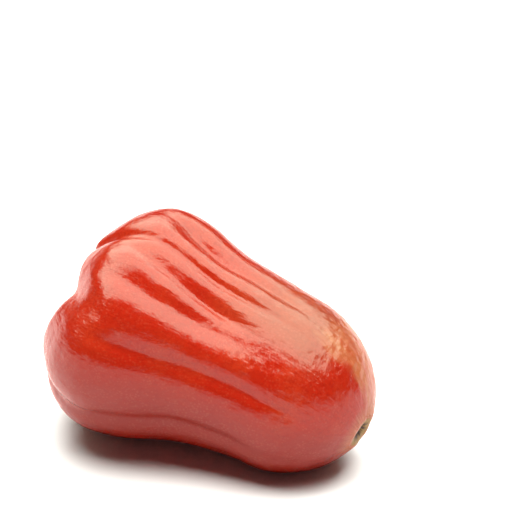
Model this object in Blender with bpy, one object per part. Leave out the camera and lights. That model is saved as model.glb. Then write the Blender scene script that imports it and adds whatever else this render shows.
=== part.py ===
"""Water rose apple: one whole fruit, as picked, lying on its side with the stem end towards +X.

Run with blender --background --python part.py, or from the text editor. Metres, +Z up.
The fruit grew as one piece, so it is one closed body. A UV sphere is wrapped onto a profile
that turns about the long axis: out of the stem pit, over the ribbed body, round the bell's
rim and, between four fleshy calyx lobes, down into the basin with the foot of the style.
"""

import math

import bmesh
import bpy
import numpy as np
from mathutils import Matrix

MM = 0.001

# Driving dimensions
LENGTH = 84.0 * MM
NARROW_RADIUS = 21.7 * MM
WAIST_RADIUS = 23.7 * MM
BELL_RADIUS = 32.0 * MM
RIM_RADIUS = 16.7 * MM
PIT_RADIUS = 2.4 * MM
PIT_DEPTH = 1.8 * MM
BASIN_RADIUS = 7.9 * MM
BASIN_DEPTH = 16.0 * MM
STYLE_RADIUS = 0.9 * MM
STYLE_HEIGHT = 2.4 * MM

# The body isn't quite a turned one. The bell is shifted off the axis, and its rim leans out
# on one side. At the narrow end the cap leans back on one side, and the stem drops and sways.
# Each END or START is a share of the length.
BELL_SHIFT, BELL_SHIFT_ANGLE, BELL_START = 0.064, 228.0, 0.4
RIM_LEAN, RIM_LEAN_ANGLE = 5.6 * MM, 196.0
CAP_LEAN, CAP_LEAN_ANGLE, CAP_RADIUS, CAP_END = 2.2 * MM, 148.0, 12.0 * MM, 0.3
STEM_DROP, STEM_SWAY, BEND_END = 4.8 * MM, 2.7 * MM, 0.5

# Angles run round the long axis from the top of the fruit towards -Y
# Furrow: angle at the rim, at half length and at the stem, depth, half width as an angle, the
# width of its side at larger angles as a share of that, and the shares of the length where it
# starts, has its whole depth and has faded out. Beyond 1 it still deepens, or is still deep, at
# the rim.
FURROWS = (
    (56.5, 72.1, 76.9, 4.6 * MM, 18.5, 1.0, 0.34, 1.27, 1.27),
    (75.3, 74.4, 73.4, 1.3 * MM, 5.8, 1.0, 0.03, 0.35, 0.94),
    (7.3, 16.8, 23.6, 1.6 * MM, 2.8, 1.7, 0.15, 0.49, 1.30),
    (7.3, 16.8, 23.6, 0.9 * MM, 3.5, 1.5, 0.70, 0.92, 1.30),
    (-6.0, -2.5, 11.5, 2.0 * MM, 4.0, 1.2, 0.15, 0.50, 0.80),
    (-6.0, -3.0, 11.5, 2.4 * MM, 4.0, 2.6, 0.45, 0.66, 0.88),
    (14.8, 33.2, 46.0, 2.9 * MM, 8.0, 0.6, 0.29, 0.49, 0.98),
    (35.9, 46.6, 48.1, 2.9 * MM, 10.5, 0.65, 0.22, 0.59, 0.98),
    (130.9, 115.7, 120.3, 1.8 * MM, 6.5, 1.0, 0.04, 0.60, 1.26),
    (152.0, 155.0, 158.0, 3.0 * MM, 8.0, 1.0, 0.20, 1.20, 1.25),
    (208.0, 206.0, 204.0, 1.2 * MM, 7.0, 1.0, 0.30, 1.20, 1.25),
    (243.0, 239.0, 236.0, 4.6 * MM, 12.0, 1.0, 0.05, 1.20, 1.25),
    (272.0, 271.0, 270.0, 1.4 * MM, 7.0, 1.0, 0.25, 1.20, 1.25),
    (297.0, 292.0, 290.0, 1.8 * MM, 8.0, 1.0, 0.20, 1.20, 1.25),
    (322.0, 320.0, 320.0, 4.6 * MM, 16.0, 1.0, 0.10, 1.20, 1.25),
)
FURROW_FADE = 0.25
BELL_MIDDLE = 0.70
FURROW_END_RADIUS = 10.0 * MM
CALYX_LOBES = 4
CALYX_ANGLE = 18.0
CALYX_FULLNESS = 0.6

# How it lies: nose down by the tilt, pressed by the sink onto two small flat spots
REST_TILT = 11.8
REST_SINK = 0.6 * MM

# Columns of faces stand closest together on the side with the narrow creases
AROUND = 108
ALONG = 54
CLOSE_ANGLE = 30.0
CLOSENESS = 0.35
SHARP_EDGE_ANGLE = 60.0
CUT_TOLERANCE = 0.001 * MM
MERGE_DISTANCE = 0.01 * MM

SKIN_COLOUR = (0.56, 0.055, 0.03, 1.0)
SKIN_ROUGHNESS = 0.25


def clear_scene():
    """Remove whatever the scene holds."""
    for thing in list(bpy.data.objects):
        bpy.data.objects.remove(thing, do_unlink=True)


def smooth_curve(points, count):
    """Curve through the points, with knots spaced by the root of the distance between them."""
    points = np.array(points)
    chords = np.linalg.norm(np.diff(points, axis=0), axis=1)
    knots = np.concatenate(([0.0], np.cumsum(np.sqrt(chords))))
    slopes = np.gradient(points, knots, axis=0)
    at = np.linspace(0.0, knots[-1], count)
    first = np.clip(np.searchsorted(knots, at, side="right") - 1, 0, len(points) - 2)
    span = (knots[first + 1] - knots[first])[:, None]
    s = (at - knots[first])[:, None] / span
    start = (1 + 2 * s) * (1 - s) ** 2 * points[first] + s * (1 - s) ** 2 * span * slopes[first]
    end = s * s * (3 - 2 * s) * points[first + 1] - s * s * (1 - s) * span * slopes[first + 1]
    return start + end


def profile_points(lobe):
    """Outline as (distance from the stem end, radius); lobe is 1 on a calyx lobe, 0 between two."""
    body = [
        (PIT_DEPTH, 0.0),
        (0.9 * PIT_DEPTH, 0.6 * PIT_RADIUS),
        (0.3 * PIT_DEPTH, PIT_RADIUS),
        (0.0, 1.5 * PIT_RADIUS),
        (0.85 * MM, 6.5 * MM),
        (3.8 * MM, 12.0 * MM),
        (8.7 * MM, 17.0 * MM),
        (0.21 * LENGTH, NARROW_RADIUS),
        (0.36 * LENGTH, 0.99 * WAIST_RADIUS),
        (0.52 * LENGTH, 1.10 * WAIST_RADIUS),
        (0.68 * LENGTH, 0.97 * BELL_RADIUS),
        (0.80 * LENGTH, BELL_RADIUS),
        (0.90 * LENGTH, 0.88 * BELL_RADIUS),
        (0.965 * LENGTH, 0.69 * BELL_RADIUS),
        (LENGTH, RIM_RADIUS),
        (LENGTH - 1.0 * MM, 0.84 * RIM_RADIUS),
        (LENGTH - 3.8 * MM, 0.72 * RIM_RADIUS),
    ]
    on_lobe = np.array([(6.6, 10.8), (5.2, 8.9), (5.4, 6.3), (7.2, 4.6), (9.0, 5.4), (10.0, 7.6)])
    between = np.array([(7.6, 10.8), (9.0, 9.9), (9.8, 9.4), (10.4, 9.0), (10.9, 8.7), (11.3, 8.4)])
    blend = (lobe * on_lobe + (1 - lobe) * between) * MM
    calyx = [(LENGTH - depth, radius) for depth, radius in blend]
    floor = LENGTH - BASIN_DEPTH
    basin = [
        (floor + 3.4 * MM, BASIN_RADIUS),
        (floor + 1.0 * MM, 0.78 * BASIN_RADIUS),
        (floor, 0.38 * BASIN_RADIUS),
        (floor + 0.3 * MM, 1.4 * STYLE_RADIUS),
        (floor + 0.8 * STYLE_HEIGHT, STYLE_RADIUS),
        (floor + STYLE_HEIGHT, 0.0),
    ]
    return body + calyx + basin


def turned_profile(angles):
    """Distances from the stem end and radii of the unribbed skin, one row a ring."""
    wave = 0.5 + 0.5 * np.cos(CALYX_LOBES * (angles - math.radians(CALYX_ANGLE)))
    curves = [smooth_curve(profile_points(lobe), ALONG + 1) for lobe in wave ** CALYX_FULLNESS]
    grid = np.stack(curves, axis=1)
    return grid[..., 0], grid[..., 1]


def furrow_line(at_rim, at_middle, at_stem, along):
    """Angle of a furrow along the body: a parabola through its three angles."""
    bow = 4 * at_middle - 2 * (at_rim + at_stem)
    return at_stem + (at_rim - at_stem + bow * (1 - along)) * along


def eased(share):
    """Smooth step from 0 to 1 as the share goes from 0 to 1."""
    share = np.clip(share, 0.0, 1.0)
    return share * share * (3 - 2 * share)


def furrow_depth(along, angles):
    """How far the furrows press the skin in."""
    along = np.clip(along, 0.0, 1.0)
    depth = np.zeros_like(along)
    for at_rim, at_middle, at_stem, deepest, half_width, near_side, starts, full, ends in FURROWS:
        line = np.radians(furrow_line(at_rim, at_middle, at_stem, along))
        off_line = (angles - line + math.pi) % (2 * math.pi) - math.pi
        width = math.radians(half_width) * np.where(off_line > 0, near_side, 1.0)
        strength = eased((along - starts) / (full - starts)) * eased((ends - along) / FURROW_FADE)
        depth += deepest * strength / (1 + (off_line / width) ** 2)
    return depth


def rib(depth, radius, angles):
    """Press the furrows in towards the middle of the bell; past the rim they fade out."""
    past_rim = np.arange(len(depth))[:, None] > np.argmax(depth, axis=0)
    left = (radius - FURROW_END_RADIUS) / (RIM_RADIUS - FURROW_END_RADIUS)
    furrow = np.where(past_rim, eased(left), 1.0) * furrow_depth(depth / LENGTH, angles)
    ahead = np.maximum(depth - BELL_MIDDLE * LENGTH, 0.0)
    reach = np.maximum(np.hypot(ahead, radius), MM)
    return depth - furrow * ahead / reach, radius - furrow * radius / reach


def skin_points():
    """Grid of points of the skin, one row a ring, before the fruit is laid down."""
    even = np.arange(AROUND) * 2 * math.pi / AROUND
    angles = even - CLOSENESS * np.sin(even - math.radians(CLOSE_ANGLE))

    def towards(angle):
        return np.cos(angles - math.radians(angle))

    plain_depth, plain_radius = turned_profile(angles)
    depth, radius = rib(plain_depth, plain_radius, angles)
    along = np.clip(depth / LENGTH, 0.0, 1.0)
    bell = np.clip((along - BELL_START) / (1 - BELL_START), 0.0, 1.0)
    radius = radius * (1 + BELL_SHIFT * towards(BELL_SHIFT_ANGLE) * bell)
    depth = depth + RIM_LEAN * towards(RIM_LEAN_ANGLE) * along ** 3 * plain_radius / BELL_RADIUS
    cap = np.clip(1 - along / CAP_END, 0.0, 1.0)
    depth = depth + CAP_LEAN * towards(CAP_LEAN_ANGLE) * cap * plain_radius / CAP_RADIUS
    bend = np.clip(1 - along / BEND_END, 0.0, 1.0) ** 2
    return np.stack(
        (
            LENGTH / 2 - depth,
            -radius * np.sin(angles) - STEM_SWAY * bend,
            radius * np.cos(angles) - STEM_DROP * bend,
        ),
        axis=-1,
    )


def wrap_sphere(mesh):
    """Fill the mesh with a sphere whose rings follow the skin."""
    grid = skin_points()
    bmesh.ops.create_uvsphere(mesh, u_segments=AROUND, v_segments=ALONG, radius=1.0)
    for vertex in mesh.verts:
        x, y, z = vertex.co
        ring = round(math.acos(max(-1.0, min(1.0, z))) / math.pi * ALONG)
        column = round(math.atan2(y, x) / (2 * math.pi) * AROUND) % AROUND
        vertex.co = grid[ring, column]


def lay_down(mesh):
    """Turn the fruit onto the surface and centre it over the origin."""
    bmesh.ops.rotate(mesh, verts=mesh.verts, matrix=Matrix.Rotation(math.radians(REST_TILT), 3, "Y"))
    places = np.array([vertex.co for vertex in mesh.verts])
    low, high = places.min(axis=0), places.max(axis=0)
    shift = (-(low[0] + high[0]) / 2, -(low[1] + high[1]) / 2, -low[2] - REST_SINK)
    bmesh.ops.translate(mesh, verts=mesh.verts, vec=shift)


def press_flats(mesh):
    """Cut off what lies below the surface, which leaves a flat spot at each low place."""
    everything = mesh.verts[:] + mesh.edges[:] + mesh.faces[:]
    bmesh.ops.bisect_plane(
        mesh, geom=everything, dist=CUT_TOLERANCE, plane_co=(0, 0, 0), plane_no=(0, 0, 1), clear_inner=True
    )
    bmesh.ops.remove_doubles(mesh, verts=mesh.verts, dist=MERGE_DISTANCE)
    open_edges = [edge for edge in mesh.edges if edge.is_boundary]
    bmesh.ops.holes_fill(mesh, edges=open_edges, sides=0)
    bmesh.ops.recalc_face_normals(mesh, faces=mesh.faces)


def skin_material():
    """Waxy red skin."""
    material = bpy.data.materials.new("fruit_skin")
    material.use_nodes = True
    shader = material.node_tree.nodes["Principled BSDF"]
    shader.inputs["Base Color"].default_value = SKIN_COLOUR
    shader.inputs["Roughness"].default_value = SKIN_ROUGHNESS
    shader.inputs["Metallic"].default_value = 0.0
    return material


def build_fruit(collection):
    """The whole fruit as one object."""
    shape = bmesh.new()
    wrap_sphere(shape)
    lay_down(shape)
    press_flats(shape)
    mesh = bpy.data.meshes.new("fruit")
    shape.to_mesh(mesh)
    shape.free()
    mesh.shade_smooth()
    mesh.set_sharp_from_angle(angle=math.radians(SHARP_EDGE_ANGLE))
    mesh.materials.append(skin_material())
    fruit = bpy.data.objects.new("fruit", mesh)
    collection.objects.link(fruit)
    return fruit


def main():
    """Build the fruit in a collection of its own."""
    clear_scene()
    collection = bpy.data.collections.new("water_rose_apple")
    bpy.context.scene.collection.children.link(collection)
    build_fruit(collection)


main()
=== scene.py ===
"""Looks of the water rose apple: its ribbed waxy skin, calyx, stem scar and a plain pale studio.

The fruit grew as one piece, so one fine mesh stands for its one solid. It repeats the solid's own
formula with many more faces, and adds the creases, ripples and puckers that are too fine for it.
"""

import logging
import math
from dataclasses import dataclass, field
from enum import Enum
from typing import Any, Mapping, Optional, Sequence, Union

import bpy
import numpy as np
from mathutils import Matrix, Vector


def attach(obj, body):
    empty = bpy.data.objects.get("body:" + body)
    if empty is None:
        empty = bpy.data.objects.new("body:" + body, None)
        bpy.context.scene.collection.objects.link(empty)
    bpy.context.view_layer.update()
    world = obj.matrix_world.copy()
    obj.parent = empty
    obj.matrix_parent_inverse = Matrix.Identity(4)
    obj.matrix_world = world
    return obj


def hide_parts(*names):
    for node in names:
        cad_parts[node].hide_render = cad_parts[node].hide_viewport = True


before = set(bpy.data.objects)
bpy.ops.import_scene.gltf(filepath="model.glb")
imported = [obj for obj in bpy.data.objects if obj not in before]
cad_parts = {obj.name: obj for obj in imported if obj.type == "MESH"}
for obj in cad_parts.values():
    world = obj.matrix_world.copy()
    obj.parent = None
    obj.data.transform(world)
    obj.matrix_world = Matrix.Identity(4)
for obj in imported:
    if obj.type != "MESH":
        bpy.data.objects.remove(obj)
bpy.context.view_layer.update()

log = logging.getLogger("water_rose_apple")

MM = 0.001
NODE = "fruit"
BODY = "root"
TAU = 2 * math.pi
Grid = np.ndarray
Colour = tuple[float, float, float]
Triple = tuple[float, float, float]
Outline = tuple[tuple[float, float], ...]


def eased(share: Grid) -> Grid:
    """Smooth step from 0 to 1 as the share goes from 0 to 1."""
    share = np.clip(share, 0.0, 1.0)
    return share * share * (3 - 2 * share)


def bump_at(value: Grid, centre: float, half_width: float) -> Grid:
    """Bell shape of height 1 round the centre."""
    return np.exp(-(((value - centre) / half_width) ** 2))


def placed(name: str, data: bpy.types.ID) -> bpy.types.Object:
    """A new object that shows the data, linked to the scene."""
    thing = bpy.data.objects.new(name, data)
    bpy.context.scene.collection.objects.link(thing)
    return thing


@dataclass(frozen=True)
class Furrow:
    """A groove along the fruit, pressed into its skin.

    Angles are in degrees round the long axis, from the top towards -Y. Starts, full and ends are
    shares of the length from the stem end: where it begins, where it has its whole depth, and
    where it has faded out again. Past 1 it is still deepening, or still deep, at the rim. Near
    side is the half width of the flank towards -Y, as a multiple of the other flank's.
    """

    at_rim: float
    at_middle: float
    at_stem: float
    depth: float
    half_width: float
    starts: float
    full: float
    ends: float = 1.25
    near_side: float = 1.0
    fade: float = 0.25

    def line(self, along: Grid) -> Grid:
        """Angle of the groove's line: a parabola through its three angles."""
        bow = 4 * self.at_middle - 2 * (self.at_rim + self.at_stem)
        return self.at_stem + (self.at_rim - self.at_stem + bow * (1 - along)) * along

    def pressed(self, along: Grid, angles: Grid) -> Grid:
        """How far the groove presses the skin in.

        Args:
            along: share of the length at each point.
            angles: angle round the axis at each point, in degrees.

        Returns:
            The depth at each point, in metres.
        """
        share = np.clip(along, 0.0, 1.0)
        off_line = (angles - self.line(share) + 180.0) % 360.0 - 180.0
        grows = eased((share - self.starts) / (self.full - self.starts))
        fades = eased((self.ends - share) / self.fade)
        width = self.half_width * np.where(off_line > 0, self.near_side, 1.0)
        return self.depth * grows * fades / (1 + (off_line / width) ** 2)


@dataclass(frozen=True)
class Profile:
    """Outline that the fruit's skin turns about its long axis, from the stem pit to the style.

    The shoulder is in millimetres from the stem end. On lobe and between, on a calyx lobe and
    between two, are in millimetres from the rim, inwards. Their points are a depth and a radius.
    """

    length: float = 84.0 * MM
    narrow_radius: float = 21.7 * MM
    waist_radius: float = 23.7 * MM
    bell_radius: float = 32.0 * MM
    rim_radius: float = 16.7 * MM
    pit_radius: float = 2.4 * MM
    pit_depth: float = 1.8 * MM
    basin_radius: float = 7.9 * MM
    basin_depth: float = 16.0 * MM
    style_radius: float = 0.9 * MM
    style_height: float = 2.4 * MM
    calyx_lobes: int = 4
    calyx_angle: float = 18.0
    calyx_fullness: float = 0.6
    steps_a_ring: int = 12
    shoulder: Outline = ((0.85, 6.5), (3.8, 12.0), (8.7, 17.0))
    on_lobe: Outline = ((6.6, 10.8), (5.2, 8.9), (5.4, 6.3), (7.2, 4.6), (9.0, 5.4), (10.0, 7.6))
    between: Outline = ((7.6, 10.8), (9.0, 9.9), (9.8, 9.4), (10.4, 9.0), (10.9, 8.7), (11.3, 8.4))

    def points(self, lobe: float) -> Grid:
        """Points of the outline as (distance from the stem end, radius).

        Args:
            lobe: 1 on the middle of a calyx lobe, 0 between two.

        Returns:
            The points, one a row.
        """
        length, bell, rim = self.length, self.bell_radius, self.rim_radius
        pit = [
            (self.pit_depth, 0.0),
            (0.9 * self.pit_depth, 0.6 * self.pit_radius),
            (0.3 * self.pit_depth, self.pit_radius),
            (0.0, 1.5 * self.pit_radius),
        ]
        shoulder = [(depth * MM, radius * MM) for depth, radius in self.shoulder]
        body = [
            (0.21 * length, self.narrow_radius),
            (0.36 * length, 0.99 * self.waist_radius),
            (0.52 * length, 1.10 * self.waist_radius),
            (0.68 * length, 0.97 * bell),
            (0.80 * length, bell),
            (0.90 * length, 0.88 * bell),
            (0.965 * length, 0.69 * bell),
            (length, rim),
            (length - 1.0 * MM, 0.84 * rim),
            (length - 3.8 * MM, 0.72 * rim),
        ]
        blend = (lobe * np.array(self.on_lobe) + (1 - lobe) * np.array(self.between)) * MM
        calyx = [(length - depth, radius) for depth, radius in blend]
        floor = length - self.basin_depth
        basin = [
            (floor + 3.4 * MM, self.basin_radius),
            (floor + 1.0 * MM, 0.78 * self.basin_radius),
            (floor, 0.38 * self.basin_radius),
            (floor + 0.3 * MM, 1.4 * self.style_radius),
            (floor + 0.8 * self.style_height, self.style_radius),
            (floor + self.style_height, 0.0),
        ]
        return np.array(pit + shoulder + body + calyx + basin)

    def lobe_share(self, angles: Grid) -> Grid:
        """How much of a calyx lobe stands at each angle in radians, from 0 to 1."""
        wave = 0.5 + 0.5 * np.cos(self.calyx_lobes * (angles - math.radians(self.calyx_angle)))
        return wave ** self.calyx_fullness

    @staticmethod
    def knots(points: Grid) -> Grid:
        """Places of the outline's points on its curve, spaced by the root of the distances."""
        chords = np.linalg.norm(np.diff(points, axis=0), axis=1)
        return np.concatenate(([0.0], np.cumsum(np.sqrt(chords))))

    def curve(self, points: Grid, shares: Grid) -> Grid:
        """Points on the smooth curve through the outline's points.

        Args:
            points: the outline's points.
            shares: where to read the curve, from 0 to 1.

        Returns:
            One point a row.
        """
        knots = self.knots(points)
        slopes = np.gradient(points, knots, axis=0)
        at = shares * knots[-1]
        first = np.clip(np.searchsorted(knots, at, side="right") - 1, 0, len(points) - 2)
        span = (knots[first + 1] - knots[first])[:, None]
        s = (at - knots[first])[:, None] / span
        start = (1 + 2 * s) * (1 - s) ** 2 * points[first] + s * (1 - s) ** 2 * span * slopes[first]
        end = s * s * (3 - 2 * s) * points[first + 1] - s * s * (1 - s) * span * slopes[first + 1]
        return start + end

    def even_shares(self, rings: int) -> Grid:
        """Find the places of the rings, at even distances along the skin.

        Args:
            rings: number of gaps between the rings.

        Returns:
            Shares of the curve, one more than the gaps.
        """
        fine = np.linspace(0.0, 1.0, self.steps_a_ring * rings)
        dense = self.curve(self.points(0.5), fine)
        steps = np.linalg.norm(np.diff(dense, axis=0), axis=1)
        run = np.concatenate(([0.0], np.cumsum(steps)))
        return np.interp(np.linspace(0.0, run[-1], rings + 1), run, fine)


@dataclass(frozen=True)
class Growth:
    """How the body leans off a turned one. Start and ends are shares of the length."""

    bell_shift: float = 0.064
    bell_shift_angle: float = 228.0
    bell_start: float = 0.4
    bell_middle: float = 0.70
    rim_lean: float = 5.6 * MM
    rim_lean_angle: float = 196.0
    cap_lean: float = 2.2 * MM
    cap_lean_angle: float = 148.0
    cap_radius: float = 12.0 * MM
    cap_end: float = 0.3
    stem_drop: float = 4.8 * MM
    stem_sway: float = 2.7 * MM
    bend_end: float = 0.5
    furrow_end_radius: float = 10.0 * MM

    def rib(self, profile: Profile, depth: Grid, radius: Grid, furrow: Grid) -> tuple[Grid, Grid]:
        """Press the furrows in towards the middle of the bell; past the rim they fade out.

        Args:
            profile: the outline, for its length and rim.
            depth: distance of each point from the stem end.
            radius: distance of each point from the axis.
            furrow: how far each point is pressed in.

        Returns:
            The new depth and radius.
        """
        past_rim = np.arange(len(depth))[:, None] > np.argmax(depth, axis=0)
        left = (radius - self.furrow_end_radius) / (profile.rim_radius - self.furrow_end_radius)
        furrow = np.where(past_rim, eased(left), 1.0) * furrow
        ahead = np.maximum(depth - self.bell_middle * profile.length, 0.0)
        reach = np.maximum(np.hypot(ahead, radius), MM)
        return depth - furrow * ahead / reach, radius - furrow * radius / reach

    def place(self, profile: Profile, depth: Grid, radius: Grid, plain: Grid, angles: Grid) -> Grid:
        """Lean the body and put it along the X axis, stem end towards +X.

        Args:
            profile: the outline, for its sizes.
            depth: distance of each point from the stem end.
            radius: distance of each point from the axis.
            plain: radius before the furrows.
            angles: angle of each column, in radians.

        Returns:
            Grid of points, one row a ring.
        """

        def towards(angle: float) -> Grid:
            """1 on the side at the angle, -1 opposite to it."""
            return np.cos(angles - math.radians(angle))

        along = np.clip(depth / profile.length, 0.0, 1.0)
        bell = np.clip((along - self.bell_start) / (1 - self.bell_start), 0.0, 1.0)
        radius = radius * (1 + self.bell_shift * towards(self.bell_shift_angle) * bell)
        rim = self.rim_lean * towards(self.rim_lean_angle) * along ** 3
        at_cap = np.clip(1 - along / self.cap_end, 0.0, 1.0)
        cap = self.cap_lean * towards(self.cap_lean_angle) * at_cap
        depth = depth + rim * plain / profile.bell_radius + cap * plain / self.cap_radius
        bend = np.clip(1 - along / self.bend_end, 0.0, 1.0) ** 2
        x = profile.length / 2 - depth
        y = -radius * np.sin(angles) - self.stem_sway * bend
        z = radius * np.cos(angles) - self.stem_drop * bend
        return np.stack((x, y, z), axis=-1)


@dataclass(frozen=True)
class Posture:
    """How the fruit lies: nose down by the tilt, pressed by the sink onto its flat spots."""

    tilt: float = 11.8
    sink: float = 0.6 * MM

    def turned(self, points: Grid) -> Grid:
        """Tilt the points about the Y axis.

        Args:
            points: the points; the last axis holds x, y and z.

        Returns:
            The tilted points.
        """
        cosine, sine = math.cos(math.radians(self.tilt)), math.sin(math.radians(self.tilt))
        x, y, z = points[..., 0], points[..., 1], points[..., 2]
        return np.stack((cosine * x + sine * z, y, cosine * z - sine * x), axis=-1)

    def shift(self, points: Grid) -> Grid:
        """Find the move that centres the points over the origin and lowers them by the sink.

        Args:
            points: the tilted points.

        Returns:
            The move as x, y and z.
        """
        low, high = points.reshape(-1, 3).min(axis=0), points.reshape(-1, 3).max(axis=0)
        middle = (low + high) / 2
        return np.array((-middle[0], -middle[1], -low[2] - self.sink))


@dataclass(frozen=True)
class Ripples:
    """Soft waves made of sines, each as long as the wavelength times a factor between the pitches.

    Lengthwise above 1 turns their crests along the fruit, below 1 across it.
    """

    wavelength: float
    height: float
    seed: int
    lengthwise: float = 1.0
    waves: int = 28
    pitches: tuple[float, float] = (0.75, 1.5)

    def raised(self, points: Grid) -> Grid:
        """Height of the waves at each point.

        Args:
            points: where to read them, in metres; the last axis holds x, y and z.

        Returns:
            One height a point; the height's root mean square is the dataclass's height.
        """
        draw = np.random.default_rng(self.seed)
        total = np.zeros(points.shape[:-1])
        for _ in range(self.waves):
            direction = draw.normal(size=3)
            direction[0] /= self.lengthwise
            direction /= np.linalg.norm(direction)
            pitch = self.wavelength * draw.uniform(*self.pitches)
            total += np.sin(points @ direction * (TAU / pitch) + draw.uniform(0.0, TAU))
        return total * self.height * math.sqrt(2.0 / self.waves)


@dataclass(frozen=True)
class Crinkling:
    """Crinkles of the drying skin: faint all over, stronger where it shrank and where it folds.

    It folds on one side of the waist and on the upper side by the stem. Places and widths along
    the fruit are shares of its length.
    """

    waves: Ripples = Ripples(wavelength=2.2 * MM, height=0.018 * MM, seed=11, lengthwise=0.4)
    patches: Ripples = Ripples(wavelength=16.0 * MM, height=0.6, seed=13)
    all_over: float = 0.25
    where_shrunk: float = 0.7
    where_folded: float = 1.6
    shrunk_end: float = 0.75
    shrunk_fade: float = 0.5
    waist_at: float = 0.38
    waist_width: float = 0.15
    waist_angle: float = 52.0
    waist_spread: float = 0.28
    stem_at: float = 0.15
    stem_width: float = 0.11

    def folded(self, share: Grid, angles: Grid, upper: Grid) -> Grid:
        """How folded the skin is.

        Args:
            share: share of the length at each point.
            angles: angle of each column, in radians.
            upper: 1 along the upper side, 0 opposite to it.

        Returns:
            One value a point, about 1 where it folds the most.
        """
        side = bump_at(angles, math.radians(self.waist_angle), self.waist_spread)
        at_waist = bump_at(share, self.waist_at, self.waist_width) * side
        return at_waist + bump_at(share, self.stem_at, self.stem_width) * upper ** 3

    def raised(self, points: Grid, share: Grid, folded: Grid) -> Grid:
        """Height of the crinkles.

        Args:
            points: where to read them.
            share: share of the length at each point.
            folded: how folded the skin is at each point.

        Returns:
            One height a point.
        """
        patches = eased(0.5 + self.patches.raised(points))
        shrunk = eased((self.shrunk_end - share) / self.shrunk_fade) * patches
        strength = self.all_over + self.where_shrunk * shrunk + self.where_folded * folded
        return self.waves.raised(points) * strength


@dataclass(frozen=True)
class Puckers:
    """Small folds that run together at the stem scar, and a lip round its pit."""

    count: int = 13
    depth: float = 0.16 * MM
    from_radius: float = 2.0 * MM
    to_radius: float = 12.0 * MM
    swirl: float = 0.5
    trail: float = 0.4
    unevenness: float = 1.7
    lip_height: float = 0.35 * MM
    lip_radius: float = 3.3 * MM
    lip_width: float = 1.0 * MM
    lip_wave: float = 0.3

    def pressed(self, radius: Grid, angles: Grid) -> Grid:
        """How far the folds press the skin in near the stem.

        Args:
            radius: distance from the axis, past the pit and before the waist.
            angles: angle round the axis, in radians.

        Returns:
            The depth at each point, below 0 on the lip.
        """
        span = (radius - self.from_radius) / (self.to_radius - self.from_radius)
        fade = eased(span * 4) * eased(1 - span)
        turn = angles + self.swirl * np.sin(angles * 2 + 1.0) + self.trail * span
        folds = 0.5 + 0.5 * np.cos(self.count * turn + self.unevenness * np.sin(3 * angles))
        wave = 1 - self.lip_wave + self.lip_wave * np.cos(3 * angles + 0.6)
        lip = bump_at(radius, self.lip_radius, self.lip_width) * wave
        return self.depth * fade * folds ** 2 - self.lip_height * lip


@dataclass(frozen=True)
class TanPatch:
    """Tan skin from the stem scar up onto the shoulder's far side.

    Angles are in degrees, and the near edge bulges past the scar. Places along the fruit are
    shares of its length.
    """

    near_edge: float = 5.0
    near_fade: float = 40.0
    bulge: float = 16.0
    bulge_at: float = 0.09
    bulge_rise: float = 0.06
    far_edge: float = -80.0
    far_fade: float = 45.0
    end: float = 0.12
    end_fade: float = 0.14

    def tanned(self, share: Grid, angles: Grid) -> Grid:
        """How tan the skin is.

        Args:
            share: share of the length at each point.
            angles: angle of each column, in radians.

        Returns:
            One value a point, from 0 to 1.
        """
        angle = (np.degrees(angles) + 180.0) % 360.0 - 180.0
        edge = self.near_edge + self.bulge * eased((share - self.bulge_at) / self.bulge_rise)
        near = eased((edge - angle) / self.near_fade + 0.5)
        far = eased((angle - self.far_edge) / self.far_fade)
        return near * far * (1 - eased((share - self.end) / self.end_fade))


RIPPLES = (
    Ripples(wavelength=14.0 * MM, height=0.030 * MM, seed=3, lengthwise=2.0),
    Ripples(wavelength=3.6 * MM, height=0.018 * MM, seed=5, lengthwise=2.0),
    Ripples(wavelength=2.2 * MM, height=0.010 * MM, seed=7, lengthwise=1.2),
)

# Each row: angle at the rim, the middle and the stem, depth, half width, start, full depth, end.
FURROWS = (
    Furrow(56.5, 72.1, 76.9, 4.6 * MM, 18.5, 0.34, 1.27, 1.27),
    Furrow(75.3, 74.4, 73.4, 1.3 * MM, 5.8, 0.03, 0.35, 0.94),
    Furrow(7.3, 16.8, 23.6, 1.6 * MM, 2.8, 0.15, 0.49, 1.30, near_side=1.7),
    Furrow(7.3, 16.8, 23.6, 0.9 * MM, 3.5, 0.70, 0.92, 1.30, near_side=1.5),
    Furrow(-6.0, -2.5, 11.5, 2.0 * MM, 4.0, 0.15, 0.50, 0.80, near_side=1.2),
    Furrow(-6.0, -3.0, 11.5, 2.4 * MM, 4.0, 0.45, 0.66, 0.88, near_side=2.6),
    Furrow(14.8, 33.2, 46.0, 2.9 * MM, 8.0, 0.29, 0.49, 0.98, near_side=0.6),
    Furrow(35.9, 46.6, 48.1, 2.9 * MM, 10.5, 0.22, 0.59, 0.98, near_side=0.65),
    Furrow(130.9, 115.7, 120.3, 1.8 * MM, 6.5, 0.04, 0.60, 1.26),
    Furrow(152.0, 155.0, 158.0, 3.0 * MM, 8.0, 0.20, 1.20),
    Furrow(208.0, 206.0, 204.0, 1.2 * MM, 7.0, 0.30, 1.20),
    Furrow(243.0, 239.0, 236.0, 4.6 * MM, 12.0, 0.05, 1.20),
    Furrow(272.0, 271.0, 270.0, 1.4 * MM, 7.0, 0.25, 1.20),
    Furrow(297.0, 292.0, 290.0, 1.8 * MM, 8.0, 0.20, 1.20),
    Furrow(322.0, 320.0, 320.0, 4.6 * MM, 16.0, 0.10, 1.20),
)


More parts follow.
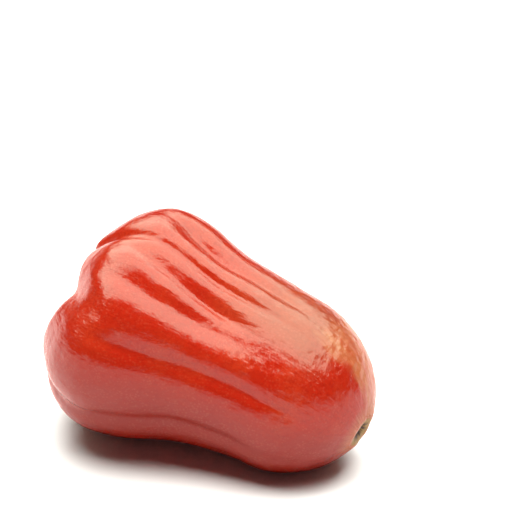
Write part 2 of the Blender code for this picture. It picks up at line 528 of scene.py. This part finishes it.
@dataclass
class FruitSkin:
    """The whole skin of the fruit: outline, furrows, creases and fine relief, as one mesh.

    The columns stand closest at the close angle. The fine relief is weaker in the calyx and dies
    out towards both poles. Angles are in degrees.
    """

    profile: Profile = Profile()
    growth: Growth = Growth()
    posture: Posture = Posture()
    furrows: Sequence[Furrow] = FURROWS
    ripples: Sequence[Ripples] = RIPPLES
    crinkling: Crinkling = Crinkling()
    puckers: Puckers = Puckers()
    tan_patch: TanPatch = TanPatch()
    around: int = 330
    along: int = 300
    close_angle: float = 30.0
    closeness: float = 0.35
    upper_angle: float = -12.0
    outside_end: float = 0.96
    outside_fade: float = 0.08
    calyx_relief: float = 0.35
    puckers_end: float = 0.3
    calm_radius: float = 1.5 * MM
    calm_fade: float = 3.0 * MM
    angles: Grid = field(init=False)
    depth: Grid = field(init=False)
    radius: Grid = field(init=False)

    def __post_init__(self) -> None:
        """Work out the columns' angles, and each point's place on the plain outline."""
        even = np.arange(self.around) * TAU / self.around
        self.angles = even - self.closeness * np.sin(even - math.radians(self.close_angle))
        shares = self.profile.even_shares(self.along)
        lobes = self.profile.lobe_share(self.angles)
        curves = [self.profile.curve(self.profile.points(lobe), shares) for lobe in lobes]
        outline = np.stack(curves, axis=1)
        self.depth, self.radius = outline[..., 0], outline[..., 1]

    def share(self) -> Grid:
        """Share of the length at each point."""
        return self.depth / self.profile.length

    def reach(self) -> Grid:
        """Number the rings from the stem pit through the rim to the style.

        Returns:
            0 at the pit, 1 at the rim and 2 at the style, one value a point.
        """
        rim = np.argmax(self.depth.mean(axis=1))
        ring = np.arange(len(self.depth), dtype=float)
        inside = 1 + (ring - rim) / (len(self.depth) - 1 - rim)
        value = np.where(ring <= rim, ring / rim, inside)
        return np.broadcast_to(value[:, None], self.depth.shape)

    def upper(self) -> Grid:
        """1 along the upper side of the fruit, 0 opposite to it."""
        side = 0.5 + 0.5 * np.cos(self.angles - math.radians(self.upper_angle))
        return np.broadcast_to(side, self.depth.shape)

    def folded(self) -> Grid:
        """How folded the skin is at each point."""
        return self.crinkling.folded(self.share(), self.angles, self.upper())

    def leaned(self) -> Grid:
        """Press the furrows into the skin and lay it along the X axis.

        Returns:
            Grid of points, one row a ring.
        """
        angles = np.broadcast_to(np.degrees(self.angles), self.depth.shape)
        none = np.zeros_like(self.depth)
        furrow = sum((row.pressed(self.share(), angles) for row in self.furrows), none)
        depth, radius = self.growth.rib(self.profile, self.depth, self.radius, furrow)
        return self.growth.place(self.profile, depth, radius, self.radius, self.angles)

    @staticmethod
    def normals(grid: Grid) -> Grid:
        """Unit normals of the grid's points.

        Args:
            grid: the points, one row a ring.

        Returns:
            The normals, pointing out.
        """
        down = np.gradient(grid, axis=0)
        round_ = np.roll(grid, -1, axis=1) - np.roll(grid, 1, axis=1)
        normal = np.cross(round_, down)
        length = np.linalg.norm(normal, axis=-1, keepdims=True)
        return normal / np.maximum(length, 1e-12)

    def fine_relief(self, grid: Grid) -> Grid:
        """Height of what the solid's formula leaves out.

        Args:
            grid: the points before it, along the X axis.

        Returns:
            How far each point moves along its normal.
        """
        outside = 1 - eased((self.reach() - self.outside_end) / self.outside_fade)
        waves = sum(wave.raised(grid) for wave in self.ripples)
        crinkle = self.crinkling.raised(grid, self.share(), self.folded())
        near_stem = self.share() < self.puckers_end
        puckers = self.puckers.pressed(self.radius, self.angles[None, :])
        folds = np.where(near_stem, puckers, 0.0)
        calm = eased((self.radius - self.calm_radius) / self.calm_fade)
        strength = self.calyx_relief + (1 - self.calyx_relief) * outside
        return calm * (waves + crinkle) * strength - folds * outside

    def points(self) -> Grid:
        """Shape the finished skin and lay it on the frame.

        Returns:
            Grid of points, one row a ring, none below the floor.
        """
        grid = self.leaned()
        shift = self.posture.shift(self.posture.turned(grid))
        grid = grid + self.normals(grid) * self.fine_relief(grid)[..., None]
        for pole in (0, -1):
            grid[pole] = grid[pole].mean(axis=0)
        grid = self.posture.turned(grid) + shift
        grid[..., 2] = np.maximum(grid[..., 2], 0.0)
        return grid

    def faces(self) -> list[tuple[int, ...]]:
        """Join the mesh's points: quads between the rings, a fan of triangles at each pole.

        Returns:
            The point numbers of each face.
        """
        rings, columns = self.along + 1, self.around
        column = np.arange(columns)
        after = (column + 1) % columns
        sides = list(zip(column, after))
        faces: list[tuple[int, ...]] = [(0, 1 + int(b), 1 + int(a)) for a, b in sides]
        for ring in range(1, rings - 2):
            here, there = 1 + (ring - 1) * columns, 1 + ring * columns
            quads = np.stack((here + column, here + after, there + after, there + column), axis=1)
            faces.extend(map(tuple, quads.tolist()))
        last_ring = 1 + (rings - 3) * columns
        pole = 1 + (rings - 2) * columns
        faces.extend((pole, last_ring + int(a), last_ring + int(b)) for a, b in sides)
        return faces

    def fields(self) -> dict[str, Grid]:
        """Work out what the finish reads at each point.

        Returns:
            Each field by its name: places on the fruit, and how folded and tan the skin is.
        """
        outside = self.reach() < 1
        return {
            "reach": self.reach(),
            "lobe": np.broadcast_to(self.profile.lobe_share(self.angles), self.depth.shape),
            "upper": self.upper(),
            "folded": self.folded() * outside,
            "tanned": self.tan_patch.tanned(self.share(), self.angles) * outside,
        }

    def grain(self) -> Grid:
        """Work out coordinates that follow the fruit.

        Returns:
            One vector a point: X and Y go round the fruit, Z along it.
        """
        run = self.reach() * self.profile.length
        size = self.profile.waist_radius
        cosine = np.broadcast_to(np.cos(self.angles), run.shape)
        sine = np.broadcast_to(np.sin(self.angles), run.shape)
        return np.stack((cosine * size, sine * size, run), axis=-1)

    @staticmethod
    def ring_order(grid: Grid) -> Grid:
        """The grid's values in the order of the mesh's points: pole, rings, pole."""
        inner = grid[1:-1].reshape(-1, *grid.shape[2:])
        return np.concatenate((grid[0, :1], inner, grid[-1, :1]))

    def build(self) -> bpy.types.Object:
        """Make the mesh, with what the finish reads stored on its points.

        Returns:
            The piece, linked to the scene.
        """
        mesh = bpy.data.meshes.new("fruit_skin")
        mesh.from_pydata(self.ring_order(self.points()).tolist(), [], self.faces())
        mesh.update()
        for name, values in self.fields().items():
            layer = mesh.attributes.new(name, "FLOAT", "POINT")
            layer.data.foreach_set("value", self.ring_order(values).astype(np.float32))
        layer = mesh.attributes.new("grain", "FLOAT_VECTOR", "POINT")
        layer.data.foreach_set("vector", self.ring_order(self.grain()).astype(np.float32).ravel())
        mesh.shade_smooth()
        return placed("fruit_skin", mesh)


@dataclass(frozen=True)
class Noise:
    """Noise from 0 to 1 with blobs about 1 / scale metres wide.

    With a stretch it follows the fruit, two axes round it and one along it; a share below 1 draws
    the blobs out on that axis.
    """

    scale: float
    detail: float = 2.0
    rough: float = 0.5
    stretch: Optional[Triple] = None


@dataclass(frozen=True)
class Spread:
    """How a mask turns into a layer: nothing at low, the whole amount at high."""

    low: float
    high: float
    amount: float = 1.0

    def over(self, mask: "Value") -> "Value":
        """The layer's share where the mask has its value."""
        share = mask.rise(self.low, self.high)
        return share if self.amount == 1.0 else share * self.amount


class NodeSheet:
    """A node tree of a material, a light or the world, with one method that adds any node."""

    def __init__(self, tree: bpy.types.NodeTree) -> None:
        """Start with the tree empty."""
        self.tree = tree
        self.tree.nodes.clear()

    @staticmethod
    def of(block: Union[bpy.types.Material, bpy.types.Light, bpy.types.World]) -> "NodeSheet":
        """The sheet of a material, a light or a world."""
        block.use_nodes = True
        return NodeSheet(block.node_tree)

    def node(
        self, kind: str, settings: Mapping[str, Any], sockets: Mapping[Any, Any]
    ) -> bpy.types.Node:
        """Add a node.

        Args:
            kind: its type, such as ShaderNodeMath.
            settings: its properties, set first.
            sockets: values or links of its inputs, by name or number.

        Returns:
            The node.
        """
        node = self.tree.nodes.new(kind)
        for name, setting in settings.items():
            setattr(node, name, setting)
        for name, value in sockets.items():
            if isinstance(value, Value):
                self.tree.links.new(value.socket, node.inputs[name])
            else:
                node.inputs[name].default_value = value
        return node

    def close(self, kind: str, shader: bpy.types.Node) -> None:
        """Lead a shader's node to a new output node of the kind."""
        self.node(kind, {}, {"Surface": Value(self, shader.outputs[0])})

    def math(self, operation: str, *operands: "Operand") -> "Value":
        """A Math node on values or numbers."""
        node = self.node("ShaderNodeMath", {"operation": operation}, dict(enumerate(operands)))
        return Value(self, node.outputs[0])

    def field(self, name: str) -> "Value":
        """A number stored on the mesh's points."""
        node = self.node("ShaderNodeAttribute", {"attribute_name": name}, {})
        return Value(self, node.outputs["Fac"])

    def place(self) -> "Value":
        """The point's own place, in metres."""
        return Value(self, self.node("ShaderNodeTexCoord", {}, {}).outputs["Object"])

    def ray(self, kind: str) -> "Value":
        """1 on the rays of a kind, named as on the Light Path node, and 0 on others."""
        return Value(self, self.node("ShaderNodeLightPath", {}, {}).outputs[kind])

    def along_fruit(self, stretch: Triple) -> "Value":
        """Coordinates that follow the fruit, each axis times its stretch.

        Args:
            stretch: a factor for each axis, two round the fruit and one along it.

        Returns:
            The coordinates.
        """
        stored = self.node("ShaderNodeAttribute", {"attribute_name": "grain"}, {})
        sockets = {0: Value(self, stored.outputs["Vector"]), 1: stretch}
        node = self.node("ShaderNodeVectorMath", {"operation": "MULTIPLY"}, sockets)
        return Value(self, node.outputs[0])

    def noise(self, noise: Noise) -> "Value":
        """Add a noise.

        Args:
            noise: its sizes.

        Returns:
            Its value, from 0 to 1.
        """
        vector = self.along_fruit(noise.stretch) if noise.stretch else self.place()
        sizes = {"Scale": noise.scale, "Detail": noise.detail, "Roughness": noise.rough}
        node = self.node("ShaderNodeTexNoise", {}, {"Vector": vector, **sizes})
        return Value(self, node.outputs[0])

    def cells(self, scale: float) -> "Value":
        """Distance to the nearest of scattered points, in cells about 1 / scale metres wide."""
        sockets = {"Vector": self.place(), "Scale": scale}
        return Value(self, self.node("ShaderNodeTexVoronoi", {}, sockets).outputs["Distance"])

    def mixed(self, mask: "Operand", first: "Paint", second: "Paint") -> "Value":
        """Mix two colours.

        Args:
            mask: 0 gives the first colour, 1 the second.
            first: a colour or a value that holds one.
            second: the same.

        Returns:
            The mixed colour.
        """
        sockets = {0: mask, 6: self.paint(first), 7: self.paint(second)}
        node = self.node("ShaderNodeMix", {"data_type": "RGBA"}, sockets)
        return Value(self, node.outputs[2])

    @staticmethod
    def paint(colour: "Paint") -> Any:
        """A colour as a socket takes it."""
        return colour if isinstance(colour, Value) else (*colour, 1.0)


@dataclass(frozen=True)
class Value:
    """An output socket that takes Python's arithmetic; each operator adds a Math node."""

    sheet: NodeSheet
    socket: bpy.types.NodeSocket

    def __add__(self, other: "Operand") -> "Value":
        """This plus the other."""
        return self.sheet.math("ADD", self, other)

    __radd__ = __add__

    def __mul__(self, other: "Operand") -> "Value":
        """This times the other."""
        return self.sheet.math("MULTIPLY", self, other)

    __rmul__ = __mul__

    def __sub__(self, other: "Operand") -> "Value":
        """This less the other."""
        return self.sheet.math("SUBTRACT", self, other)

    def __rsub__(self, other: "Operand") -> "Value":
        """The other less this."""
        return self.sheet.math("SUBTRACT", other, self)

    def rise(self, low: float, high: float) -> "Value":
        """Smooth step over this value.

        Args:
            low: where the step is 0; it may be the larger one.
            high: where the step is 1.

        Returns:
            The step, from 0 to 1.
        """
        if low > high:
            return 1 - self.rise(high, low)
        settings = {"interpolation_type": "SMOOTHSTEP"}
        sockets = {"Value": self, "From Min": low, "From Max": high}
        node = self.sheet.node("ShaderNodeMapRange", settings, sockets)
        return Value(self.sheet, node.outputs[0])


Operand = Union[Value, float]
Paint = Union[Value, Colour]


@dataclass(frozen=True)
class RedSkin:
    """The skin's own red: mottled orange, streaked and speckled darker, with paler lenticels.

    It is deeper on the underside: painted shade. Along the upper side between the nose and the
    waist it turns bronze, partly skin tone and partly a painted tint of the highlight that falls
    there.
    """

    red: Colour = (0.52, 0.020, 0.005)
    deep_red: Colour = (0.40, 0.012, 0.003)
    orange: Colour = (0.60, 0.052, 0.012)
    # Partly skin tone, partly a painted tint of the highlight on the upper side.
    bronze_and_sheen: Colour = (0.28, 0.12, 0.04)
    lenticel: Colour = (0.66, 0.12, 0.06)
    mottle: Noise = Noise(60.0, 3.0, 0.6)
    mottled: Spread = Spread(0.4, 0.75, 0.6)
    streaked: Spread = Spread(0.45, 0.75, 0.3)
    speckle: Noise = Noise(900.0, 4.0, 0.75)
    speckled: Spread = Spread(0.45, 0.65, 0.5)
    # Painted shade: the red deepens on the underside, where less light falls.
    painted_underside_shade: Spread = Spread(0.62, 0.3, 0.85)
    # Where the bronze lies: the upper side where the highlight falls, between the nose and the
    # waist.
    bronze_and_sheen_side: Spread = Spread(0.76, 0.90)
    bronze_and_sheen_from: Spread = Spread(0.19, 0.29)
    bronze_and_sheen_to: Spread = Spread(0.6, 0.3)
    bronze_and_sheen_amount: float = 0.33
    dot_cells: float = 1350.0
    dot_size: Spread = Spread(0.5, 0.2)
    dot_patches: Noise = Noise(300.0)
    dotted: Spread = Spread(0.3, 0.6)
    dot_amount: float = 0.15

    def tone(self, sheet: NodeSheet, streak: Value, reach: Value) -> Value:
        """Mix the red.

        Args:
            sheet: the material's nodes.
            streak: streaks that run along the fruit.
            reach: 0 at the stem pit, 1 at the rim.

        Returns:
            The colour.
        """
        upper = sheet.field("upper")
        tone = sheet.mixed(self.mottled.over(sheet.noise(self.mottle)), self.red, self.orange)
        tone = sheet.mixed(self.streaked.over(streak), tone, self.deep_red)
        tone = sheet.mixed(self.speckled.over(sheet.noise(self.speckle)), tone, self.deep_red)
        # Painted shade: deeper red on the underside.
        tone = sheet.mixed(self.painted_underside_shade.over(upper), tone, self.deep_red)
        # Bronze on the upper side: partly skin tone, partly painted highlight tint.
        bronze_and_sheen_share = self.bronze_and_sheen_side.over(upper) * self.bronze_and_sheen_to.over(reach)
        bronze_and_sheen_share = bronze_and_sheen_share * self.bronze_and_sheen_from.over(reach) * self.bronze_and_sheen_amount
        tone = sheet.mixed(bronze_and_sheen_share, tone, self.bronze_and_sheen)
        patches = self.dotted.over(sheet.noise(self.dot_patches))
        dots = self.dot_size.over(sheet.cells(self.dot_cells)) * patches
        return sheet.mixed(dots * self.dot_amount, tone, self.lenticel)


@dataclass(frozen=True)
class StemTone:
    """Colours of the stem end: a ragged tan patch, tan rays, an olive rim and the dark pit."""

    tan: Colour = (0.62, 0.20, 0.075)
    olive: Colour = (0.38, 0.24, 0.045)
    pit: Colour = (0.04, 0.025, 0.01)
    blush: Noise = Noise(90.0, 4.0, 0.65, stretch=(1.0, 1.0, 0.5))
    blush_amount: float = 1.3
    streak_amount: float = 0.8
    patch: Spread = Spread(0.25, 0.8)
    rays: Noise = Noise(330.0, 4.0, 0.65, stretch=(1.0, 1.0, 0.35))
    ray_contrast: Spread = Spread(0.3, 0.65)
    between_rays: float = 0.4
    ray_amount: float = 0.5
    near_pit: Spread = Spread(0.095, 0.05)
    rim: Spread = Spread(0.050, 0.040)
    hole: Spread = Spread(0.034, 0.020)
    hole_raggedness: float = 0.02

    def over(self, sheet: NodeSheet, tone: Value, streak: Value, reach: Value) -> Value:
        """Lay the stem end's colours over the skin's.

        Args:
            sheet: the material's nodes.
            tone: the skin's colour.
            streak: streaks that run along the fruit.
            reach: 0 at the stem pit, 1 at the rim.

        Returns:
            The colour.
        """
        blush = sheet.noise(self.blush)
        ragged = self.blush_amount * (blush - 0.5) + self.streak_amount * (streak - 0.5)
        patch = self.patch.over(sheet.field("tanned") + ragged)
        rays = self.ray_contrast.over(sheet.noise(self.rays))
        rayed = self.between_rays + self.ray_amount * rays
        tone = sheet.mixed(patch * rayed, tone, self.tan)
        tone = sheet.mixed(self.near_pit.over(reach) * rayed, tone, self.tan)
        tone = sheet.mixed(self.rim.over(reach), tone, self.olive)
        hole = self.hole.over(reach + self.hole_raggedness * (rays - 0.5))
        return sheet.mixed(hole, tone, self.pit)


@dataclass(frozen=True)
class CalyxTone:
    """Colours of the calyx end: the lobes, their brown edges, the basin and the dried style."""

    calyx: Colour = (0.42, 0.03, 0.015)
    lobe_edge: Colour = (0.20, 0.06, 0.025)
    basin: Colour = (0.42, 0.19, 0.08)
    style: Colour = (0.12, 0.05, 0.02)
    calyx_from: Spread = Spread(1.16, 1.26)
    lobe_edge_from: Spread = Spread(1.45, 1.52)
    basin_from: Spread = Spread(1.55, 1.64)
    style_from: Spread = Spread(1.90, 1.93)

    def over(self, sheet: NodeSheet, tone: Value, reach: Value) -> Value:
        """Lay the calyx end's colours over the skin's.

        Args:
            sheet: the material's nodes.
            tone: the skin's colour.
            reach: 1 at the rim, 2 at the style.

        Returns:
            The colour.
        """
        tone = sheet.mixed(self.calyx_from.over(reach), tone, self.calyx)
        edge = self.lobe_edge_from.over(reach) * sheet.field("lobe")
        tone = sheet.mixed(edge, tone, self.lobe_edge)
        tone = sheet.mixed(self.basin_from.over(reach), tone, self.basin)
        return sheet.mixed(self.style_from.over(reach), tone, self.style)


@dataclass(frozen=True)
class WaxySkin:
    """Finish of the fruit: its colours, a thin uneven wax and the fine grain under it."""

    red_skin: RedSkin = RedSkin()
    stem_tone: StemTone = StemTone()
    calyx_tone: CalyxTone = CalyxTone()
    streak: Noise = Noise(420.0, 3.0, 0.6, stretch=(1.0, 1.0, 0.12))
    ior: float = 1.5
    roughness: float = 0.14
    rub: Noise = Noise(120.0, 3.0, 0.6)
    rub_amount: float = 0.08
    dull_scar: Spread = Spread(0.08, 0.02, 0.3)
    dull_basin: Spread = Spread(1.45, 1.6, 0.5)
    subsurface: float = 0.2
    subsurface_depth: float = 2.5 * MM
    subsurface_spread: Triple = (1.0, 0.25, 0.12)
    dimples: Noise = Noise(1000.0, 3.0, 0.65)
    grain: Noise = Noise(440.0, 4.0, 0.7, stretch=(1.0, 1.0, 0.27))
    grain_amount: float = 2.4
    wrinkles: Noise = Noise(560.0, 4.0, 0.65, stretch=(0.45, 0.45, 1.5))
    wrinkle_amount: float = 3.0
    relief_strength: float = 0.7
    relief_height: float = 0.12 * MM

    def colour(self, sheet: NodeSheet) -> Value:
        """Mix the colour of every part of the fruit.

        Args:
            sheet: the material's nodes.

        Returns:
            The colour.
        """
        reach, streak = sheet.field("reach"), sheet.noise(self.streak)
        tone = self.red_skin.tone(sheet, streak, reach)
        tone = self.stem_tone.over(sheet, tone, streak, reach)
        return self.calyx_tone.over(sheet, tone, reach)

    def relief(self, sheet: NodeSheet) -> Value:
        """Raise the wax's fine relief: dimples, a grain along the fruit, and wrinkles in the folds.

        Args:
            sheet: the material's nodes.

        Returns:
            The normal.
        """
        dimples = sheet.noise(self.dimples)
        grain = self.grain_amount * sheet.noise(self.grain)
        wrinkles = self.wrinkle_amount * sheet.field("folded") * sheet.noise(self.wrinkles)
        sockets = {
            "Height": dimples + grain + wrinkles,
            "Strength": self.relief_strength,
            "Distance": self.relief_height,
        }
        return Value(sheet, sheet.node("ShaderNodeBump", {}, sockets).outputs[0])

    def wax(self, sheet: NodeSheet) -> Value:
        """Work out how rough the skin is from place to place.

        Args:
            sheet: the material's nodes.

        Returns:
            The roughness: rubbed patches, and duller skin at the scar and in the basin.
        """
        reach = sheet.field("reach")
        dull = self.dull_scar.over(reach) + self.dull_basin.over(reach)
        return self.roughness + self.rub_amount * (sheet.noise(self.rub) - 0.5) + dull

    def material(self) -> bpy.types.Material:
        """Make the material.

        Returns:
            The finished material.
        """
        material = bpy.data.materials.new("waxy_skin")
        sheet = NodeSheet.of(material)
        sockets = {
            "Base Color": self.colour(sheet),
            "Roughness": self.wax(sheet),
            "Normal": self.relief(sheet),
            "IOR": self.ior,
            "Subsurface Weight": self.subsurface,
            "Subsurface Radius": self.subsurface_spread,
            "Subsurface Scale": self.subsurface_depth,
        }
        sheet.close("ShaderNodeOutputMaterial", sheet.node("ShaderNodeBsdfPrincipled", {}, sockets))
        return material

    def dress(self, piece: bpy.types.Object) -> None:
        """Give the finish to a piece."""
        piece.data.materials.append(self.material())


@dataclass(frozen=True)
class PaleFloor:
    """Matt pale surface that the fruit lies on.

    The camera sees its colour. Light that it throws back is dimmer, and the fruit's shine
    mirrors it warmer, so that the underside stays dark and red over a white floor.
    """

    size: float = 4.0
    colour: Colour = (0.86, 0.86, 0.84)
    bounced: Colour = (0.34, 0.34, 0.33)
    mirrored: Colour = (0.80, 0.54, 0.51)
    cloud: Noise = Noise(3.0)
    cloud_shade: float = 0.97
    roughness: float = 0.9

    def build(self) -> bpy.types.Object:
        """Make the floor.

        Returns:
            The floor.
        """
        bpy.ops.mesh.primitive_plane_add(size=self.size)
        floor = bpy.context.object
        floor.name = "floor"
        material = bpy.data.materials.new("pale_floor")
        sheet = NodeSheet.of(material)
        shaded = tuple(self.cloud_shade * part for part in self.colour)
        seen = sheet.mixed(sheet.noise(self.cloud), self.colour, shaded)
        thrown = sheet.mixed(sheet.ray("Is Glossy Ray"), self.bounced, self.mirrored)
        tone = sheet.mixed(sheet.ray("Is Camera Ray"), thrown, seen)
        sockets = {"Base Color": tone, "Roughness": self.roughness}
        sheet.close("ShaderNodeOutputMaterial", sheet.node("ShaderNodeBsdfPrincipled", {}, sockets))
        floor.data.materials.append(material)
        return floor


class Rays(Enum):
    """What a lamp adds to: the shine of surfaces, or their matt light and shadows."""

    SHINE = "visible_glossy"
    MATT = "visible_diffuse"


@dataclass(frozen=True)
class Softbox:
    """Rectangular lamp that shines straight down.

    Right end and back end are the shares of its light that are left there; it fades evenly
    towards them from its left and front ends.
    """

    name: str
    rays: Rays
    middle: Triple
    size: tuple[float, float]
    radiance: float
    colour: Colour
    turn: float = 0.0
    right_end: float = 1.0
    back_end: float = 1.0

    def light(self) -> bpy.types.Light:
        """Make the lamp's light.

        Returns:
            The light, with its fade.
        """
        light = bpy.data.lights.new(self.name, "AREA")
        light.shape = "RECTANGLE"
        light.size, light.size_y = self.size
        # With this energy the strength below is the lamp's radiance.
        light.energy = math.pi * light.size * light.size_y
        sheet = NodeSheet.of(light)
        geometry = sheet.node("ShaderNodeNewGeometry", {}, {})
        on_lamp = {0: Value(sheet, geometry.outputs["Parametric"])}
        across = sheet.node("ShaderNodeSeparateXYZ", {}, on_lamp)
        to_right = 1 - (1 - self.right_end) * Value(sheet, across.outputs[0])
        fade = to_right * (1 - (1 - self.back_end) * Value(sheet, across.outputs[1]))
        sockets = {"Color": (*self.colour, 1.0), "Strength": self.radiance * fade}
        sheet.close("ShaderNodeOutputLight", sheet.node("ShaderNodeEmission", {}, sockets))
        return light

    def hang(self, only: Sequence[bpy.types.Object] = ()) -> bpy.types.Object:
        """Add the lamp to the scene.

        Args:
            only: the objects that it lights; with none given it lights them all.

        Returns:
            The lamp.
        """
        lamp = placed(self.name, self.light())
        lamp.location = self.middle
        lamp.rotation_euler = (0.0, 0.0, math.radians(self.turn))
        for rays in Rays:
            setattr(lamp, rays.value, rays is self.rays)
        lamp.visible_camera = False
        lamp.visible_transmission = False
        if only:
            lit = bpy.data.collections.new(self.name + "_lights")
            for thing in only:
                lit.objects.link(thing)
            lamp.light_linking.receiver_collection = lit
        log.info("%s: lamp for %s", self.name, ", ".join(thing.name for thing in only) or "all")
        return lamp


@dataclass(frozen=True)
class Studio:
    """A broad diffuser that the skin mirrors, a key light, an overhead light and a dim room."""

    diffuser: Softbox = Softbox(
        name="diffuser",
        rays=Rays.SHINE,
        middle=(-0.38, 0.57, 1.0),
        size=(3.34, 2.42),
        radiance=7.2,
        colour=(0.58, 0.86, 0.67),
        turn=6.5,
        right_end=0.93,
        back_end=0.75,
    )
    key: Softbox = Softbox(
        name="key",
        rays=Rays.MATT,
        middle=(0.1, -0.5, 2.3),
        size=(2.6, 2.6),
        radiance=5.8,
        colour=(1.0, 0.99, 0.96),
    )
    overhead: Softbox = Softbox(
        name="overhead",
        rays=Rays.MATT,
        middle=(0.12, 0.12, 2.5),
        size=(2.6, 2.6),
        radiance=11.6,
        colour=(1.0, 1.0, 0.98),
    )
    room: Colour = (0.05, 0.05, 0.05)
    backdrop: Colour = (0.98, 0.98, 0.97)

    def dim_room(self) -> None:
        """Light the room dimly; past the floor's edge the backdrop is pale."""
        world = bpy.data.worlds.new("room")
        sheet = NodeSheet.of(world)
        tone = sheet.mixed(sheet.ray("Is Camera Ray"), self.room, self.backdrop)
        background = sheet.node("ShaderNodeBackground", {}, {"Color": tone})
        sheet.close("ShaderNodeOutputWorld", background)
        bpy.context.scene.world = world

    def build(self, floor: bpy.types.Object, fruit: bpy.types.Object) -> None:
        """Set up the lights, with the fruit and the floor each lit by its own.

        Args:
            floor: what the fruit lies on.
            fruit: the dressed fruit.
        """
        self.diffuser.hang()
        self.key.hang(only=[fruit])
        self.overhead.hang(only=[floor])
        self.dim_room()
        bpy.context.scene.view_settings.view_transform = "Standard"


@dataclass(frozen=True)
class PhotoCamera:
    """Camera at the photograph's viewing angle, aimed so that the fruit lies where it shows."""

    azimuth: float = 24.9
    elevation: float = 27.8
    distance: float = 0.75
    aim: Triple = (2.49 * MM, -0.69 * MM, 24.4 * MM)
    aim_pixel: tuple[float, float] = (218.2, 358.7)
    frame_pixels: float = 530.0
    focal_pixels: float = 2960.0
    sensor: float = 36.0
    clip: tuple[float, float] = (0.01, 50.0)

    def build(self) -> bpy.types.Object:
        """Place the camera and make it the scene's own.

        Returns:
            The camera.
        """
        turn, rise = math.radians(self.azimuth), math.radians(self.elevation)
        level = math.cos(rise)
        back = Vector((math.sin(turn) * level, -math.cos(turn) * level, math.sin(rise)))
        right = Vector((math.cos(turn), math.sin(turn), 0.0))
        up = back.cross(right)
        middle = self.frame_pixels / 2
        across = (middle - self.aim_pixel[0]) / self.focal_pixels
        above = (self.aim_pixel[1] - middle) / self.focal_pixels
        looks = -back + right * across + up * above
        data = bpy.data.cameras.new("camera")
        data.sensor_width = self.sensor
        data.lens = self.sensor * self.focal_pixels / self.frame_pixels
        data.clip_start, data.clip_end = self.clip
        camera = placed("camera", data)
        camera.location = Vector(self.aim) + back * self.distance
        camera.rotation_euler = looks.to_track_quat("-Z", "Y").to_euler()
        bpy.context.scene.camera = camera
        return camera


def main() -> None:
    """Build the camera, the floor, the dressed fruit and the lights, and report each piece."""
    logging.basicConfig(level=logging.INFO, format="%(name)s: %(message)s")
    camera = PhotoCamera().build()
    log.info("%s: lens %.0f mm", camera.name, camera.data.lens)
    floor = PaleFloor().build()
    log.info("%s: %.1f m wide, stage", floor.name, floor.dimensions.x)
    piece = FruitSkin().build()
    WaxySkin().dress(piece)
    Studio().build(floor, piece)
    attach(piece, BODY)
    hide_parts(NODE)
    log.info("%s: %d faces", piece.name, len(piece.data.polygons))


if __name__ == "__main__":
    main()
